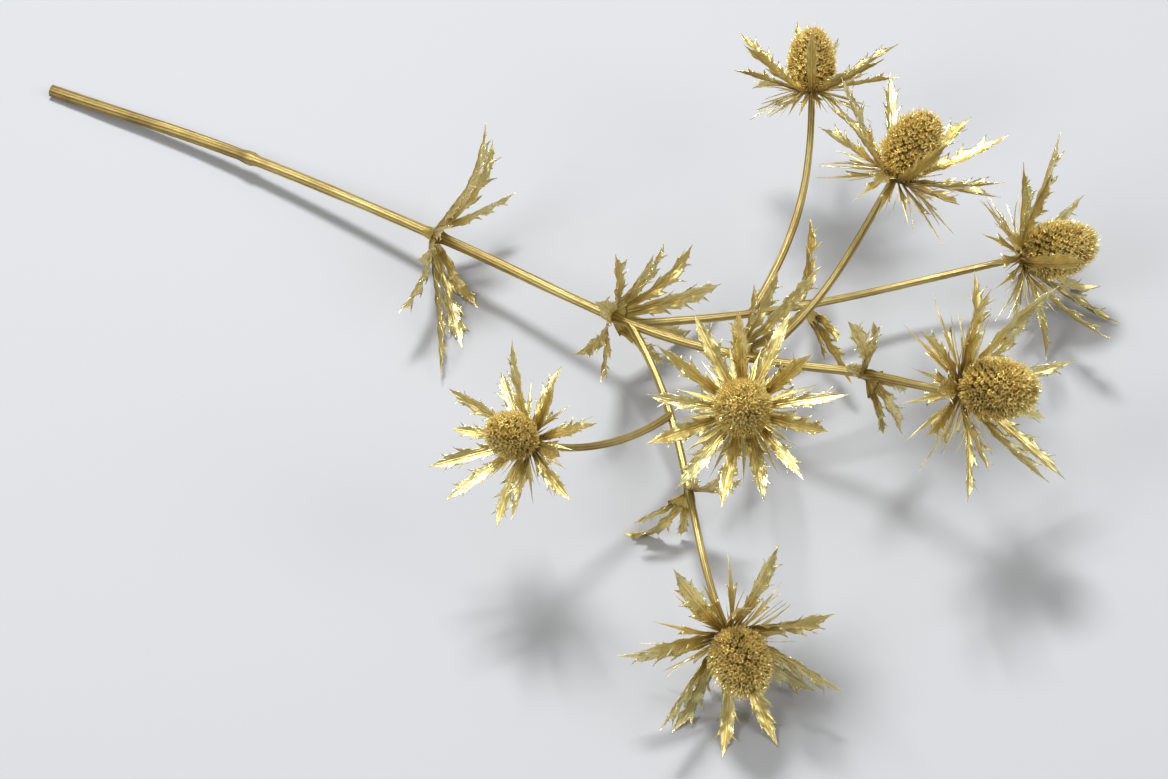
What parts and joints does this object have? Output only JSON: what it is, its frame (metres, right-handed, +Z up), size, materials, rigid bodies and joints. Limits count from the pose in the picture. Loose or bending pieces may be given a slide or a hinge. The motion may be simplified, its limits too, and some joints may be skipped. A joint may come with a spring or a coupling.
{
  "type": "sea holly stem",
  "caption": "Dried, gold-painted sea holly stem lying down: it forks into branches, each ending in a cone of florets over a star of spiny toothed bracts, with palmate leaves at the forks.",
  "frame": {"origin": "on the surface the stem lies on, under the middle of its bounding box", "axes": "+X along the stem from the cut end to the top head, +Y to the left seen from the cut end, +Z up from the surface"},
  "size_m": [0.5901, 0.3981, 0.191],
  "materials": {
    "bract_gold": "dried leaf under pale champagne-gold spray paint, metallic satin",
    "cone_gold": "dried florets under gold spray paint, warmer, and darker in the gaps",
    "stem_gold": "dried ribbed stem under thinner gold spray paint, satin"
  },
  "bodies": {
    "root": {"stem": "stem_gold", "lower_leaf_1": "bract_gold", "lower_leaf_2": "bract_gold", "fork_leaf_1": "bract_gold", "fork_leaf_2": "bract_gold", "upper_leaf_1": "bract_gold", "upper_leaf_2": "bract_gold", "crown_leaf_1": "bract_gold", "crown_leaf_2": "bract_gold", "branch_leaf_2_1": "bract_gold", "branch_leaf_2_2": "bract_gold", "branch_leaf_3_1": "bract_gold", "branch_leaf_3_2": "bract_gold", "head_1_bracts": "bract_gold", "head_1_cone": "cone_gold", "head_2_bracts": "bract_gold", "head_2_cone": "cone_gold", "head_3_bracts": "bract_gold", "head_3_cone": "cone_gold", "head_4_bracts": "bract_gold", "head_4_cone": "cone_gold", "head_5_bracts": "bract_gold", "head_5_cone": "cone_gold", "head_6_bracts": "bract_gold", "head_6_cone": "cone_gold", "head_7_bracts": "bract_gold", "head_7_cone": "cone_gold"}
  },
  "joints": []
}
